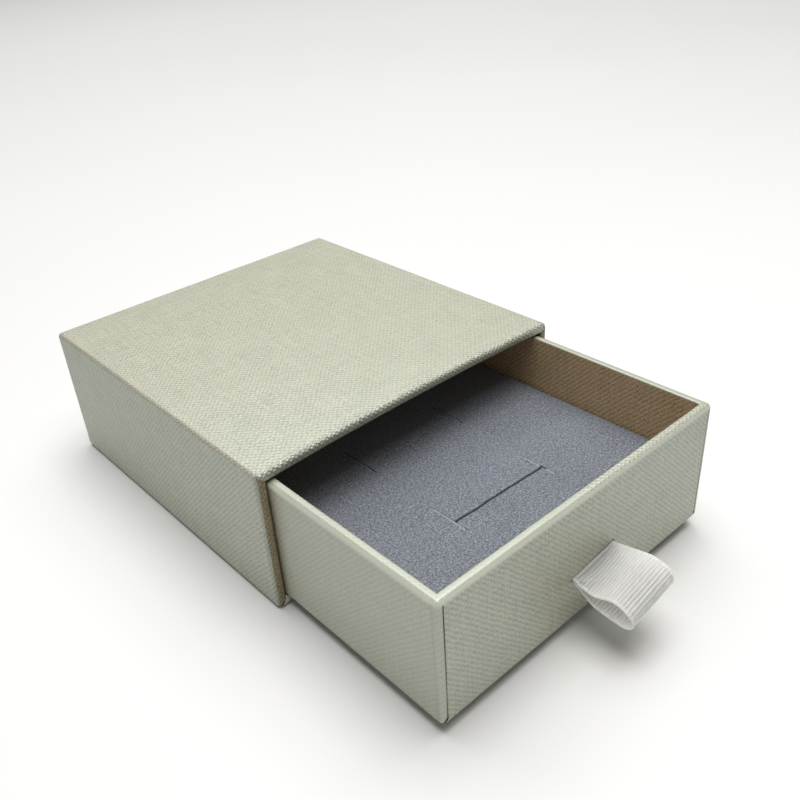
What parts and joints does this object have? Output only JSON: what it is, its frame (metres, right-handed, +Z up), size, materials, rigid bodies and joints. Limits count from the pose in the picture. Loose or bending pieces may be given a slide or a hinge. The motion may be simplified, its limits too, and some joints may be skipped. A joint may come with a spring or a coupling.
{
  "type": "sliding drawer gift box",
  "caption": "Paper-covered greyboard sleeve with a tray drawer that slides out, a slit velvet insert and a ribbon loop pull, for jewellery or a small gift.",
  "frame": {"origin": "middle of the sleeve's underside", "axes": "+Z up; +X to the right as the sleeve's mouth is looked into; the drawer opens towards -Y"},
  "size_m": [0.085, 0.1497, 0.0345],
  "materials": {
    "cover_paper": "satin",
    "greyboard": "matte",
    "kraft_tape": "matte",
    "lining_paper": "matte",
    "foam": "matte",
    "velvet": "matte",
    "ribbon": "satin"
  },
  "bodies": {
    "sleeve": {"sleeve_wrap": "cover_paper", "sleeve_base_sheet": "cover_paper", "sleeve_back_sheet": "cover_paper", "sleeve_top_board": "greyboard", "sleeve_bottom_board": "greyboard", "sleeve_left_board": "greyboard", "sleeve_right_board": "greyboard", "sleeve_back_board": "greyboard", "sleeve_edge_stays": "kraft_tape", "sleeve_back_stays": "kraft_tape", "sleeve_wall_lining": "lining_paper", "sleeve_back_lining": "lining_paper", "sleeve_base_infill": "lining_paper", "sleeve_back_infill": "lining_paper"},
    "drawer": {"drawer_wrap": "cover_paper", "drawer_base_board": "greyboard", "drawer_front_board": "greyboard", "drawer_back_board": "greyboard", "drawer_left_board": "greyboard", "drawer_right_board": "greyboard", "drawer_corner_stays": "kraft_tape", "drawer_floor_lining": "lining_paper", "ribbon_patch": "lining_paper", "insert_foam": "foam", "insert_velvet": "velvet", "ribbon_tails": "ribbon"},
    "pull": {"ribbon_loop": "ribbon"}
  },
  "joints": [
    {"name": "drawer_slide", "type": "slide", "parent": "sleeve", "child": "drawer", "axis": [0, -1, 0], "range_m": [-0.046, 0.0424]},
    {"name": "ribbon_flex", "type": "hinge", "parent": "drawer", "child": "pull", "pos_m": [0.0013, -0.0913, 0.0142], "axis": [0.9903, 0, 0.1392], "range_deg": [-50, 50], "stiffness_Nm_per_rad": 0.0001}
  ]
}
